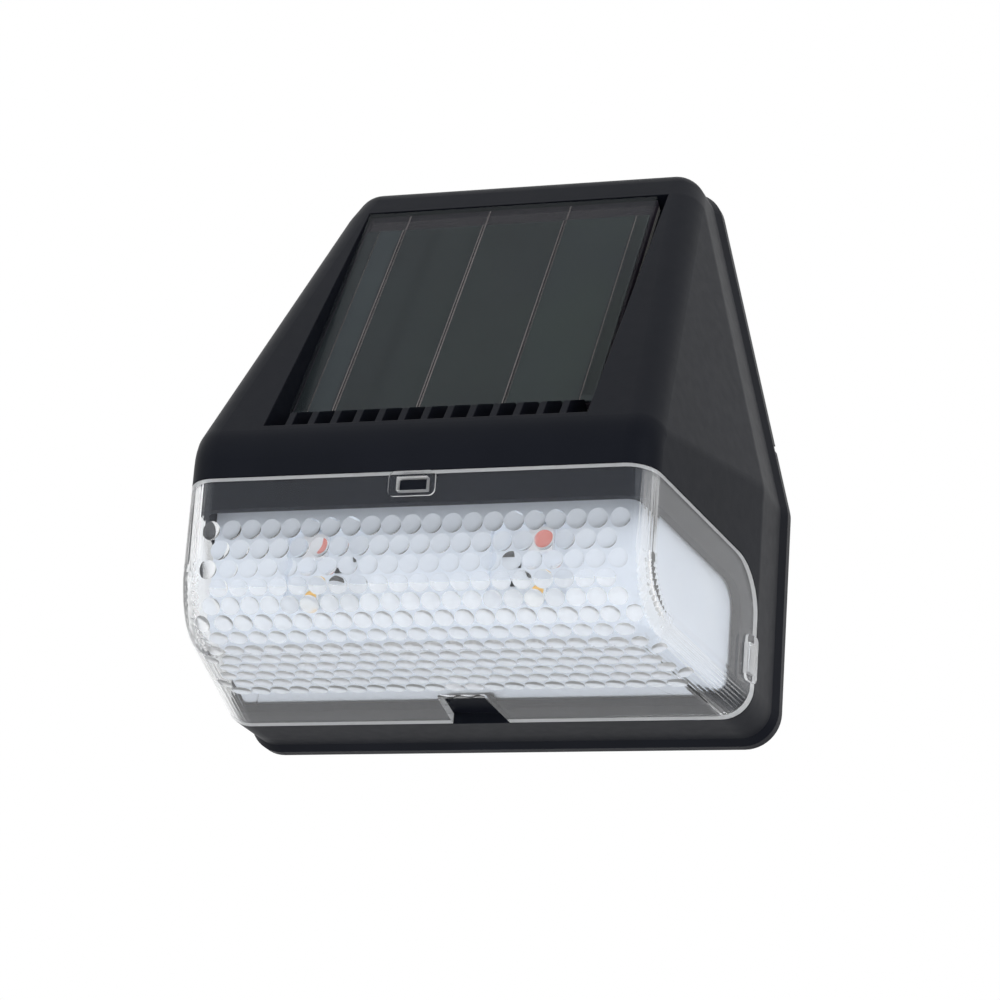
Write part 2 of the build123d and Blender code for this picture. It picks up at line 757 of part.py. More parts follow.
def make_battery():
    """The rechargeable cell, its cradle, the two contacts and the tape that holds all."""
    half_z = battery_radius + holder_clearance
    low = battery_height - half_z
    high = battery_height + half_z
    tape = box_between((room_left, tape_front, low), (room_right, cover_inner, high))
    save(tape, "holder_tape")
    outer = box_between((room_left - holder_wall, holder_open, low - holder_wall),
                        (room_right + holder_wall, tape_front, high + holder_wall))
    cavity = box_between((room_left, holder_open - PAST, low), (room_right, tape_front - holder_wall, high))
    save(outer - cavity, "battery_holder")

    axis = Plane(origin=(battery_left, battery_y, battery_height), z_dir=(1, 0, 0))
    start = (Align.CENTER, Align.CENTER, Align.MIN)
    cell = axis * Cylinder(battery_radius, battery_length, align=start)
    nub_plane = Plane(origin=(battery_right, battery_y, battery_height), z_dir=(1, 0, 0))
    cell += nub_plane * Cylinder(battery_nub_radius, battery_nub_length, align=start)
    save(cell, "battery_cell")

    def plate(x):
        half = contact_width / 2
        body = box_between((x, battery_y - half, battery_height - half),
                           (x + contact_thickness, battery_y + half, battery_height + half))
        tab = box_between((x, holder_open - tab_length, battery_height - tab_width / 2),
                          (x + contact_thickness, battery_y, battery_height + tab_width / 2))
        return body + tab

    save(plate(room_right - contact_thickness), "positive_contact")
    turn_length = spring_length - 2 * spring_wire_radius
    helix = Helix(pitch=turn_length / spring_turns, height=turn_length, radius=spring_radius,
                  center=(0, 0, 0), direction=(0, 0, 1))
    section = Plane(origin=helix @ 0, z_dir=helix % 0) * Circle(spring_wire_radius)
    coil = sweep(section, path=helix)
    seat = room_left + contact_thickness + spring_wire_radius
    coil = Plane(origin=(seat, battery_y, battery_height), z_dir=(1, 0, 0)) * coil
    save(Compound([plate(room_left), coil]), "negative_contact_spring")


def lead(points):
    """A round lead along a route: straight runs joined by arcs as large as they allow."""
    radii = []
    for index in range(1, len(points) - 1):
        before = points[index] - points[index - 1]
        after = points[index + 1] - points[index]
        turn = radians(before.get_angle(after))
        radii.append(0.45 * min(before.length, after.length) / tan(turn / 2))
    print("lead bend radii", [round(radius, 1) for radius in radii])
    path = FilletPolyline(*[tuple(point) for point in points], radius=radii)
    section = Plane(origin=path @ 0, z_dir=path % 0) * Circle(lead_radius)
    return sweep(section, path=path)


def make_leads():
    """Leads from the panel, the battery and the light board to the control board."""
    board_low = board_centre_height - board_height / 2
    joint_height = board_low + lead_edge
    hole = panel_plane.from_local_coords(Vector(0, lead_hole_place, -panel_thickness))
    run = (board_front - hole.Y) / (1 + cos(radians(panel_tilt)))
    panel_leads = []
    for side in (-1, 1):
        start = hole + Vector(side * lead_pitch / 2, 0, 0)
        bend = start - panel_normal * run
        end = bend + Vector(0, run, 0)
        panel_leads.append(lead([start, bend, end]))
    save(Compound(panel_leads), "panel_leads")

    battery_leads = []
    tab_end = holder_open - tab_length
    for side in (-1, 1):
        start = Vector(side * (cell_room - contact_thickness) / 2, tab_end, battery_height)
        end = Vector(side * battery_lead_inset, board_front, joint_height)
        out = start - Vector(0, lead_exit, 0)
        back = end - Vector(0, lead_exit, 0)
        middle = (out + back) * 0.5 + Vector(side * 2.5, -5, 0)
        battery_leads.append(lead([start, out, middle, back, end]))
    save(Compound(battery_leads), "battery_leads")

    led_rear = -reflector_front + reflector_wall + led_board_thickness
    led_z = led_board_bottom + led_board_height / 2
    led_leads = []
    for step in (-1, 0, 1):
        x = step * lead_pitch
        start = Vector(x, led_rear, led_z)
        end = Vector(x, board_front, joint_height)
        out = start + Vector(0, lead_exit, 0)
        back = end - Vector(0, lead_exit, 0)
        middle = (out + back) * 0.5 + Vector(0, 4, -2)
        led_leads.append(lead([start, out, middle, back, end]))
    save(Compound(led_leads), "led_leads")


os.makedirs("parts", exist_ok=True)
save(make_housing(), "housing")
save(make_lens_cover(), "lens_cover")
save(make_reflector(), "reflector")
make_light_board()
make_panel()
save(make_back_cover(), "back_cover")
save(make_cover_gasket(), "cover_gasket")
save(make_cover_screws(), "cover_screws")
save(make_button(), "mode_button")
make_switch()
make_control_board()
save(make_board_screws(), "board_screws")
make_battery()
make_leads()
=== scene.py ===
import json
import math

import bmesh
import bpy
from mathutils import Matrix, Vector
from mathutils.bvhtree import BVHTree
from mathutils.kdtree import KDTree


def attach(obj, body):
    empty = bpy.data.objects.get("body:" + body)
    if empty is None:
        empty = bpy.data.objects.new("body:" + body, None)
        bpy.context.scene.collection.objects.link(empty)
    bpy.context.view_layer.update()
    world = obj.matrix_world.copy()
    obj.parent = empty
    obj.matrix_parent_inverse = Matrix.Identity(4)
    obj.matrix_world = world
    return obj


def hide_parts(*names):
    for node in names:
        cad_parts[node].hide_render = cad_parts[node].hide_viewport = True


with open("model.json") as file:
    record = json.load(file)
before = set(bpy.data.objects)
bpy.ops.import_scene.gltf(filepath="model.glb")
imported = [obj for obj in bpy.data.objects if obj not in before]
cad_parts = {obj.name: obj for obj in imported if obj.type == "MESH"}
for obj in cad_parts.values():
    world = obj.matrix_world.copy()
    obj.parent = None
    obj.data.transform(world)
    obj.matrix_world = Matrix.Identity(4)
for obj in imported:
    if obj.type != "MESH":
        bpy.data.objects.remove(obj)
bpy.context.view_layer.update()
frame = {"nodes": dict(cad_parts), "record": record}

# Places and sizes are in millimetres unless a comment says otherwise, with x from the middle,
# y from the wall and z from the rim's lowest edge.
MM = 0.001
PER_METRE = 1000.0
NODES = frame["nodes"]
DROP = 72.0                      # how far the part's origin lies above the rim's lowest edge


def at(x, y, z):
    """A point given in millimetres from the rim's lowest edge, in the frame of the part."""
    return Vector((x, y, z - DROP)) * MM


# ---------------------------------------------------------------- camera
AZIMUTH = math.radians(19.14)
ELEVATION = math.radians(-18.35)
ROLL = math.radians(4.18)
DISTANCE = 604.73
TARGET = (3.21, -25.0, 39.55)
FOCAL_PIXELS = 3413.15
PICTURE_PIXELS = 1000.0
SENSOR_WIDTH = 36.0
CLIP_START = 0.01                # in metres
CLIP_END = 20.0                  # in metres


def make_camera():
    """A camera below and to the right of the light, slightly rolled."""
    out = Vector((math.sin(AZIMUTH) * math.cos(ELEVATION),
                  -math.cos(AZIMUTH) * math.cos(ELEVATION), math.sin(ELEVATION)))
    right = Vector((math.cos(AZIMUTH), math.sin(AZIMUTH), 0))
    up = out.cross(right)
    turned_right = right * math.cos(ROLL) + up * math.sin(ROLL)
    turned_up = up * math.cos(ROLL) - right * math.sin(ROLL)
    data = bpy.data.cameras.new("camera")
    data.sensor_width = SENSOR_WIDTH
    data.lens = FOCAL_PIXELS * SENSOR_WIDTH / PICTURE_PIXELS
    data.clip_start = CLIP_START
    data.clip_end = CLIP_END
    camera = bpy.data.objects.new("camera", data)
    place = at(*TARGET) + out * DISTANCE * MM
    axes = Matrix((turned_right, turned_up, out)).transposed().to_4x4()
    camera.matrix_world = Matrix.Translation(place) @ axes
    bpy.context.scene.collection.objects.link(camera)
    bpy.context.scene.camera = camera


# ---------------------------------------------------------------- node helpers
NOISE_LOW = 0.3                  # most of a noise lies between these two
NOISE_HIGH = 0.7
MIX_FACTOR = 0                   # the sockets of a Mix node that mixes colours
MIX_FIRST = 6
MIX_SECOND = 7
MIX_RESULT = 2
WHITE = (1.0, 1.0, 1.0)


def new_material(name):
    """A material, its node tree and its shader."""
    made = bpy.data.materials.new(name)
    made.use_nodes = True
    tree = made.node_tree
    return made, tree, tree.nodes["Principled BSDF"]


def feed(tree, socket, value):
    """Link a socket to another node's output, or set it to a colour or a number."""
    if isinstance(value, bpy.types.NodeSocket):
        tree.links.new(value, socket)
    elif isinstance(value, tuple):
        socket.default_value = (*value, 1.0)
    else:
        socket.default_value = value


def add(tree, kind, **values):
    """A node with its properties, or its inputs, set by name."""
    node = tree.nodes.new(kind)
    for name, value in values.items():
        if hasattr(node, name):
            setattr(node, name, value)
        else:
            node.inputs[name.replace("_", " ")].default_value = value
    return node


def object_coords(tree):
    """The shaded place in its object's frame, in metres."""
    return add(tree, "ShaderNodeTexCoord").outputs["Object"]


def split_coords(tree, vector):
    """The parts of a place along each axis."""
    split = add(tree, "ShaderNodeSeparateXYZ")
    tree.links.new(vector, split.inputs[0])
    return split.outputs


def noise(tree, vector, scale, detail=3.0, roughness=0.5):
    """Noise with the given number of features to the metre."""
    node = add(tree, "ShaderNodeTexNoise", Scale=scale, Detail=detail, Roughness=roughness)
    tree.links.new(vector, node.inputs["Vector"])
    return node.outputs["Fac"]


def mapped(tree, value, low, high, start=0.0, end=1.0):
    """A value between start and end turned into one between low and high."""
    node = add(tree, "ShaderNodeMapRange", From_Min=start, From_Max=end, To_Min=low, To_Max=high)
    tree.links.new(value, node.inputs["Value"])
    return node.outputs["Result"]


def uneven(tree, vector, scale, low, high, detail=3.0):
    """A value that wanders between low and high."""
    return mapped(tree, noise(tree, vector, scale, detail), low, high, NOISE_LOW, NOISE_HIGH)


def mixed(tree, factor, first, second, blend_type="MIX"):
    """A colour between two colours, each given as three numbers or as a socket."""
    node = add(tree, "ShaderNodeMix", data_type="RGBA", blend_type=blend_type)
    feed(tree, node.inputs[MIX_FACTOR], factor)
    feed(tree, node.inputs[MIX_FIRST], first)
    feed(tree, node.inputs[MIX_SECOND], second)
    return node.outputs[MIX_RESULT]


def math_node(tree, operation, first, second=0.0):
    """The result of an operation on one or two sockets or numbers."""
    node = add(tree, "ShaderNodeMath", operation=operation)
    feed(tree, node.inputs[0], first)
    feed(tree, node.inputs[1], second)
    return node.outputs[0]


def bump(tree, shader, height, depth, strength, under=None):
    """Relief of the given depth in metres, on top of the normal that lies under it."""
    node = add(tree, "ShaderNodeBump", Distance=depth, Strength=strength)
    tree.links.new(height, node.inputs["Height"])
    if under is not None:
        tree.links.new(under, node.inputs["Normal"])
    tree.links.new(node.outputs["Normal"], shader.inputs["Normal"])


def surface(name, dark, light, rough, grain=1500.0, depth=0.00002, blotch=60.0, strength=0.4,
            metallic=0.0, coat=0.0, sheen=0.0, specular=0.5, edge=0.0, glint=WHITE):
    """A solid finish: blotches between two colours, uneven gloss and a fine grain in relief.
    Grain and blotch are features to the metre, and depth and edge are in metres. With an edge
    radius, sharp edges catch the light as if they were slightly rounded."""
    made, tree, shader = new_material(name)
    vector = object_coords(tree)
    tone = uneven(tree, vector, blotch, 0.0, 1.0, 4.0)
    feed(tree, shader.inputs["Base Color"], mixed(tree, tone, dark, light))
    feed(tree, shader.inputs["Roughness"], uneven(tree, vector, grain / 6, *rough))
    under = None
    if edge:
        under = add(tree, "ShaderNodeBevel", samples=4, Radius=edge).outputs["Normal"]
    bump(tree, shader, noise(tree, vector, grain, 2.0, 0.6), depth, strength, under)
    for socket, value in (("Metallic", metallic), ("Coat Weight", coat), ("Sheen Weight", sheen),
                          ("Specular IOR Level", specular), ("Specular Tint", glint)):
        feed(tree, shader.inputs[socket], value)
    return made


# ---------------------------------------------------------------- finishes
HAZE_AND_PAINTED_LIGHT = "haze_and_painted_light"                    # the number on the lens's faces that says how pale they are made: a painted highlight on the edge and the window frames, painted light on the corners and beads, and some real milkiness on the beads
LEAST_TRANSMISSION = 0.2
LENS_GLINT = (0.4, 0.42, 0.46)
PANEL_TILT = math.radians(30.5)  # of the panel, from upright
PANEL_REACH = 25.0               # from the panel's middle to where its green cast is fullest
FINGER_PITCH = 1.1
LED_X = 20.25                    # of both LEDs of a pair, left and right of the middle
WARM_LED_Z = 14.2
RGB_LED_Z = 23.0


def make_clear(name, tint, ior, rough, wave_scale, wave_depth):
    """Clear moulded plastic with faint flow waves in its surface, turned pale where it is marked:
    painted highlights and painted light, with some real milkiness on the beads. The waves are
    counted to the metre, and their depth is in metres."""
    made, tree, shader = new_material(name)
    vector = object_coords(tree)
    tone = uneven(tree, vector, wave_scale * 2, 0.0, 1.0, 2.0)
    paler = tuple(0.5 + 0.5 * channel for channel in tint)
    feed(tree, shader.inputs["Base Color"], mixed(tree, tone, tint, paler))
    feed(tree, shader.inputs["Roughness"], uneven(tree, vector, wave_scale * 8, *rough, 2.0))
    bump(tree, shader, noise(tree, vector, wave_scale, 1.0), wave_depth, 0.3)
    # how much of the clear look turns pale white: painted highlight, painted light and some real
    # milkiness
    haze_and_paint = add(tree, "ShaderNodeAttribute", attribute_name=HAZE_AND_PAINTED_LIGHT).outputs["Fac"]
    feed(tree, shader.inputs["Transmission Weight"],
         mapped(tree, haze_and_paint, 1.0, LEAST_TRANSMISSION))
    feed(tree, shader.inputs["IOR"], ior)
    feed(tree, shader.inputs["Specular Tint"], LENS_GLINT)
    return made


def panel_place(tree, vector):
    """How far across the panel, and how far up along it, in millimetres."""
    place = split_coords(tree, vector)
    rise = math_node(tree, "MULTIPLY", place["Z"], math.cos(PANEL_TILT) * PER_METRE)
    lean = math_node(tree, "MULTIPLY", place["Y"], math.sin(PANEL_TILT) * PER_METRE)
    across = math_node(tree, "MULTIPLY", place["X"], PER_METRE)
    return across, math_node(tree, "ADD", rise, lean)


def make_cell_finish():
    """Thin-film silicon: slate with a green cast to the right, fine fingers across."""
    made, tree, shader = new_material("solar_cell")
    vector = object_coords(tree)
    across, up = panel_place(tree, vector)
    side = mapped(tree, across, 0.0, 1.0, -PANEL_REACH, PANEL_REACH)
    base = mixed(tree, side, (0.042, 0.058, 0.066), (0.044, 0.062, 0.057))
    cloud = mapped(tree, noise(tree, vector, 45.0), 0.0, 0.7, 0.35, 0.65)
    base = mixed(tree, cloud, base, (0.036, 0.046, 0.056))
    wave = math_node(tree, "SINE", math_node(tree, "MULTIPLY", up, 2 * math.pi / FINGER_PITCH))
    fingers = mapped(tree, wave, 0.0, 0.12, 0.9, 1.0)
    base = mixed(tree, fingers, base, (0.06, 0.072, 0.074))
    feed(tree, shader.inputs["Base Color"], base)
    feed(tree, shader.inputs["Roughness"], uneven(tree, vector, 200.0, 0.4, 0.46))
    bump(tree, shader, noise(tree, vector, 1200.0), 0.000001, 0.1)
    feed(tree, shader.inputs["Specular IOR Level"], 0.1)
    return made


def make_veil(name, tint, strength):
    """A thin clear coat over the cells: nearly unseen from ahead, a soft sheen at a slant."""
    made, tree, shader = new_material(name)
    vector = object_coords(tree)
    tone = uneven(tree, vector, 120.0, 0.0, 1.0, 2.0)
    paler = tuple(channel * 1.15 for channel in tint)
    feed(tree, shader.inputs["Base Color"], mixed(tree, tone, tint, paler))
    feed(tree, shader.inputs["Roughness"], uneven(tree, vector, 150.0, 0.1, 0.14, 2.0))
    slant = add(tree, "ShaderNodeLayerWeight", Blend=0.3).outputs["Facing"]
    feed(tree, shader.inputs["Alpha"], mapped(tree, slant, strength, strength * 3))
    bump(tree, shader, noise(tree, vector, 90.0, 1.0), 0.000002, 0.2)
    return made


def make_led_finish(name, gel, cup, height, radius):
    """A pair of LEDs: white cups with a round pool of gel, tinted by its phosphor or dies."""
    made, tree, shader = new_material(name)
    vector = object_coords(tree)
    place = split_coords(tree, vector)
    dx = math_node(tree, "SUBTRACT", math_node(tree, "ABSOLUTE", place["X"]), LED_X * MM)
    dz = math_node(tree, "SUBTRACT", place["Z"], (height - DROP) * MM)
    square = math_node(tree, "ADD", math_node(tree, "MULTIPLY", dx, dx),
                       math_node(tree, "MULTIPLY", dz, dz))
    from_centre = math_node(tree, "SQRT", square)
    inside = mapped(tree, from_centre, 1.0, 0.0, radius * MM * 0.9, radius * MM)
    deeper = tuple(channel * 0.8 for channel in gel)
    specks = mixed(tree, uneven(tree, vector, 2500.0, 0.85, 1.0), deeper, WHITE)
    base = mixed(tree, 0.35, mixed(tree, inside, cup, gel), specks, "MULTIPLY")
    feed(tree, shader.inputs["Base Color"], base)
    feed(tree, shader.inputs["Roughness"], mapped(tree, inside, 0.5, 0.12))
    bump(tree, shader, inside, 0.0002, 0.5)
    return made


FINISHES = {
    "black_abs": surface("black_abs", (0.0045, 0.0055, 0.009), (0.0065, 0.0075, 0.012),
                         (0.44, 0.48), grain=2600.0, depth=0.00003, blotch=55.0, strength=0.35,
                         specular=0.08, edge=0.00025, glint=(0.84, 0.9, 1.0)),
    "clear_lens": make_clear("clear_lens", (0.97, 0.985, 1.0), 1.49, (0.0, 0.03), 70.0, 0.00003),
    "white_plastic": surface("white_plastic", (0.8, 0.855, 0.945), (0.83, 0.885, 0.965),
                             (0.3, 0.42), grain=1800.0, depth=0.00001, blotch=70.0),
    "white_board": surface("white_board", (0.78, 0.83, 0.91), (0.82, 0.87, 0.94), (0.4, 0.55),
                           grain=2400.0, depth=0.00001, blotch=200.0),
    "warm_led": make_led_finish("warm_led", (0.95, 0.6, 0.2), (0.82, 0.86, 0.9), WARM_LED_Z, 1.1),
    "rgb_led": make_led_finish("rgb_led", (0.78, 0.22, 0.18), (0.84, 0.86, 0.9), RGB_LED_Z, 1.0),
    "chip_black": surface("chip_black", (0.012, 0.012, 0.013), (0.02, 0.02, 0.02), (0.5, 0.65),
                          blotch=300.0),
    "green_board": surface("green_board", (0.012, 0.09, 0.04), (0.02, 0.12, 0.055), (0.3, 0.45),
                           grain=2200.0, blotch=150.0, coat=0.3),
    "panel_board": surface("panel_board", (0.055, 0.047, 0.066), (0.066, 0.056, 0.076),
                           (0.4, 0.5), grain=2200.0, blotch=150.0, specular=0.15),
    "solar_cell": make_cell_finish(),
    "tinned_ribbon": surface("tinned_ribbon", (0.72, 0.63, 0.63), (0.85, 0.76, 0.76),
                             (0.35, 0.5), grain=3000.0, blotch=400.0),
    "panel_resin": make_veil("panel_resin", (0.05, 0.06, 0.065), 0.12),
    "sealant": surface("sealant", (0.62, 0.62, 0.6), (0.72, 0.72, 0.7), (0.5, 0.7)),
    "gasket_rubber": surface("gasket_rubber", (0.01, 0.01, 0.01), (0.02, 0.02, 0.02),
                             (0.75, 0.9), grain=3500.0, depth=0.00008, strength=0.8),
    "screw_steel": surface("screw_steel", (0.5, 0.5, 0.47), (0.62, 0.61, 0.57), (0.25, 0.4),
                           grain=3000.0, depth=0.00001, blotch=500.0, metallic=1.0),
    "button_rubber": surface("button_rubber", (0.016, 0.016, 0.018), (0.025, 0.025, 0.028),
                             (0.6, 0.75), grain=3200.0, depth=0.00004, blotch=200.0, sheen=0.15),
    "switch_black": surface("switch_black", (0.012, 0.012, 0.012), (0.02, 0.02, 0.02),
                            (0.4, 0.5)),
    "switch_ivory": surface("switch_ivory", (0.7, 0.66, 0.52), (0.78, 0.74, 0.6), (0.35, 0.5)),
    "ferrite": surface("ferrite", (0.03, 0.03, 0.03), (0.05, 0.05, 0.05), (0.55, 0.75),
                       grain=3000.0, depth=0.00006),
    "capacitor_can": surface("capacitor_can", (0.5, 0.5, 0.52), (0.66, 0.66, 0.68), (0.25, 0.4),
                             metallic=1.0),
    "foam_tape": surface("foam_tape", (0.7, 0.7, 0.7), (0.8, 0.8, 0.8), (0.8, 0.95),
                         grain=2500.0, depth=0.0001, strength=0.8),
    "cell_sleeve": surface("cell_sleeve", (0.03, 0.16, 0.07), (0.04, 0.2, 0.09), (0.2, 0.32),
                           coat=0.5),
    "contact_steel": surface("contact_steel", (0.55, 0.54, 0.5), (0.68, 0.67, 0.62), (0.2, 0.35),
                             metallic=1.0),
    "lead_black": surface("lead_black", (0.01, 0.01, 0.01), (0.018, 0.018, 0.018), (0.4, 0.55)),
    "lead_red": surface("lead_red", (0.32, 0.01, 0.008), (0.42, 0.016, 0.012), (0.35, 0.5)),
    "lead_white": surface("lead_white", (0.68, 0.68, 0.66), (0.78, 0.78, 0.76), (0.4, 0.55)),
}


def dress_nodes():
    """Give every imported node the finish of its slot."""
    for row in frame["record"]["subparts"]:
        node = NODES[row["node"]]
        node.data.materials.clear()
        node.data.materials.append(FINISHES[row["material_slot"]])


# ---------------------------------------------------------------- lens with its beads
LENS_WALL = 1.8
EDGE = 5.5                       # radius of the body's upright edges
CORNER = 14.0                    # radius from the front to the underside
FRONT = 60.9                     # from the wall to the front
SLAB = 16.8                      # from the wall to the lens's rear edge
SEAM = 32.65                     # height of the lens's upper edge at the front
SEAM_BACK = 27.35                # and at its rear edge
RIM = 0.9                        # height of the underside at the lens's rear edge
UNDER_RISE = 4.9                 # how much higher the underside is at the front
FRONT_HALF = 41.1                # half the body's width at the front
BACK_HALF = 49.1                 # and at the lens's rear edge

BEAD_PITCH = 3.6                 # from bead to bead in a row
ROW_PITCH = 3.5                  # from row to row, along the outer profile
FIRST_ROW = 9.0                  # from the seam, along the outer profile
ROWS = 13
FRONT_ROWS = 6                   # those with the higher beads
MOST_COLUMNS = 14                # to each side of the middle
ROW_OVERHANG = 1.6               # how far a row goes on into the upright corners
BEAD_RADIUS = 1.74
BEAD_RISE = 0.42
LOW_RISE = 0.22                  # of the flatter beads on the underside
BEAD_ROOT = 0.6                  # how deep a bead is rooted in the wall
BEAD_SIDES = 28
BEAD_RINGS = 6

WELD = 1e-7                      # these three are distances in metres
ON_SHELL = 1.5e-5
ON_SPHERE = 2e-5
SAME_WAY = 0.95                  # cosine between two normals that count as one
NO_LENGTH = 1e-9

# How pale the lens is made: 0 is clear, and 1 is the palest. The edge and the window frames carry
# a painted highlight, the corners painted light over dark refraction streaks, and the beads a
# milky look that is partly real and partly painted light over their dark crescents.
EDGE_PAINTED_HIGHLIGHT = 1.0                  # its edge towards the housing, which shows pale: a painted highlight where the edge catches the light
EDGE_BAND = 0.4                  # how far that edge reaches in from the seam
BEND_REACH = 13.0                # and round the bend between its upper and its rear edge
WINDOW_PAINTED_HIGHLIGHT = 0.6                # the frames of the snap windows, pale as a painted highlight
TOP_WINDOW_HALF = 5.0            # half the width of the upper window with its frame
TOP_WINDOW_DEPTH = 3.0
TOP_WINDOW_FALL = 6.0            # from the seam to below its frame
SIDE_WINDOW_X = 40.0             # the side windows lie further out than this
SIDE_WINDOW_DEPTH = 5.5
SIDE_WINDOW_LOW = 5.0
SIDE_WINDOW_HIGH = 17.0
# the beads: partly real milkiness, partly painted light over their dark refraction crescents
BEAD_HAZE_AND_PAINTED_LIGHT = 0.1
LOW_BEAD_HAZE_AND_PAINTED_LIGHT = 0.45             # of the beads on the underside
CORNER_PAINTED_LIGHT = 0.3                # of the upright corners: painted light over their dark refraction streaks
LIP_CORNER_PAINTED_LIGHT = 0.12           # of their top, in front of the housing's lip, with less painted light
LIP_FALL = 6.0                   # from the seam to below the lip
CORNER_BAND = 0.3                # how far a corner reaches in past its radius
CORNER_START = 12.0              # from the lens's rear edge to where its corners take painted light


def profile(length):
    """Point on the lens's outer profile, as y and z in mm, and its outward normal. The length
    runs from the seam down the front, round the corner and back along the underside."""
    fall = math.atan2(UNDER_RISE, FRONT - SLAB)
    turn = math.pi / 2 - fall
    straight = SEAM - (RIM + UNDER_RISE + CORNER * math.tan(turn / 2))
    if length <= straight:
        return (-FRONT, SEAM - length), (-1.0, 0.0)
    angle = min((length - straight) / CORNER, turn)
    past = max(length - straight - CORNER * turn, 0.0)
    normal = (-math.cos(angle), -math.sin(angle))
    y = -FRONT + CORNER + CORNER * normal[0] + past * math.cos(fall)
    z = SEAM - straight + CORNER * normal[1] - past * math.sin(fall)
    return (y, z), normal


def half_width(y):
    """Half the body's width at a distance from the wall, below its fold."""
    return BACK_HALF - (BACK_HALF - FRONT_HALF) * (-y - SLAB) / (FRONT - SLAB)


def welded_copy(node, name):
    """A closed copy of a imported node's mesh, with the vertices of neighbouring faces joined."""
    data = node.data.copy()
    data.name = name
    work = bmesh.new()
    work.from_mesh(data)
    bmesh.ops.remove_doubles(work, verts=work.verts, dist=WELD)
    work.to_mesh(data)
    work.free()
    made = bpy.data.objects.new(name, data)
    bpy.context.scene.collection.objects.link(made)
    return made


def dome_radius(rise):
    """Radius in mm of the sphere whose cap is one bead of the given rise."""
    return (BEAD_RADIUS ** 2 + rise ** 2) / (2 * rise)


def add_bead(work, centre, normal, rise):
    """One bead: a cap that stands out along the normal, on a short root."""
    side = normal.orthogonal().normalized()
    other = normal.cross(side)
    radius = dome_radius(rise)
    edge = math.asin(BEAD_RADIUS / radius)
    rings = [(BEAD_RADIUS, -BEAD_ROOT)]
    for step in range(BEAD_RINGS):
        angle = edge * (1 - step / BEAD_RINGS)
        rings.append((radius * math.sin(angle), radius * math.cos(angle) - radius + rise))
    loops = []
    for ring, height in rings:
        loop = []
        for index in range(BEAD_SIDES):
            turn = 2 * math.pi * index / BEAD_SIDES
            out = side * math.cos(turn) + other * math.sin(turn)
            loop.append(work.verts.new(centre + out * ring * MM + normal * height * MM))
        loops.append(loop)
    for low, high in zip(loops, loops[1:]):
        for index in range(BEAD_SIDES):
            after = (index + 1) % BEAD_SIDES
            work.faces.new((low[index], low[after], high[after], high[index]))
    top = work.verts.new(centre + normal * rise * MM)
    for index in range(BEAD_SIDES):
        work.faces.new((loops[-1][index], loops[-1][(index + 1) % BEAD_SIDES], top))
    work.faces.new(list(reversed(loops[0])))


def make_beads(shell):
    """Rows of beads on the inner surface of the shell, as one object, and the sphere of each
    bead, as its point on the wall, its centre and its radius in metres."""
    tree = BVHTree.FromPolygons([vertex.co for vertex in shell.data.vertices],
                                [tuple(polygon.vertices) for polygon in shell.data.polygons])
    work = bmesh.new()
    spheres = []
    for row in range(ROWS):
        rise = BEAD_RISE if row < FRONT_ROWS else LOW_RISE
        radius = dome_radius(rise)
        (y, z), (ny, nz) = profile(FIRST_ROW + ROW_PITCH * row)
        core = half_width(y) - EDGE
        shift = 0.5 * (row % 2)
        for column in range(-MOST_COLUMNS, MOST_COLUMNS + 1):
            across = (column + shift) * BEAD_PITCH
            if abs(across) > core + ROW_OVERHANG:
                continue
            lean = max(abs(across) - core, 0.0) / (EDGE - LENS_WALL) * math.copysign(1, across)
            start = at(max(min(across, core), -core), y - ny * EDGE, z - nz * EDGE)
            way = Vector((math.sin(lean), math.cos(lean) * ny, math.cos(lean) * nz))
            hit = tree.ray_cast(start, way)[0]
            if hit is None:
                continue
            add_bead(work, hit, -way, rise)
            spheres.append((hit, hit + way * (radius - rise) * MM, radius * MM))
    mesh = bpy.data.meshes.new("beads")
    work.to_mesh(mesh)
    work.free()
    beads = bpy.data.objects.new("beads", mesh)
    bpy.context.scene.collection.objects.link(beads)
    return beads, spheres


def corner_weights(place, a, b, c):
    """How much each corner of a triangle counts at a place in it, up to a common factor."""
    area = (b - a).cross(c - a)
    return ((b - place).cross(c - place).dot(area), (c - place).cross(a - place).dot(area),
            (a - place).cross(b - place).dot(area))


def blend(weights, normals):
    """The mean of three normals with the given weights."""
    total = Vector((0, 0, 0))
    for weight, normal in zip(weights, normals):
        total += normal * max(weight, 0.0)
    return total.normalized() if total.length > NO_LENGTH else normals[0]


def true_normals(data, source, spheres):
    """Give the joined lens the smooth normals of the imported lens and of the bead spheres, and
    return the numbers of the faces that belong to beads."""
    source.calc_loop_triangles()
    places = [vertex.co for vertex in source.vertices]
    triangles = [tuple(triangle.vertices) for triangle in source.loop_triangles]
    corners = [tuple(triangle.loops) for triangle in source.loop_triangles]
    tree = BVHTree.FromPolygons(places, triangles)
    around = KDTree(len(spheres))
    for index, (on_wall, _, _) in enumerate(spheres):
        around.insert(on_wall, index)
    around.balance()
    found = [None] * len(data.loops)
    on_beads = set()
    for polygon in data.polygons:
        flat = polygon.normal
        _, normal, index, far = tree.find_nearest(polygon.center)
        on_shell = far < ON_SHELL and normal.dot(flat) > SAME_WAY
        _, centre, radius = spheres[around.find(polygon.center)[1]]
        if not on_shell and abs((polygon.center - centre).length - radius) < ON_SPHERE:
            on_beads.add(polygon.index)
        for loop in polygon.loop_indices:
            place = data.vertices[data.loops[loop].vertex_index].co
            if on_shell:
                weights = corner_weights(place, *(places[vertex] for vertex in triangles[index]))
                near = [source.corner_normals[corner].vector for corner in corners[index]]
                found[loop] = blend(weights, near)
            elif abs((place - centre).length - radius) < ON_SPHERE:
                found[loop] = (place - centre).normalized()
            else:
                found[loop] = flat
    data.shade_smooth()
    data.normals_split_custom_set(found)
    return on_beads


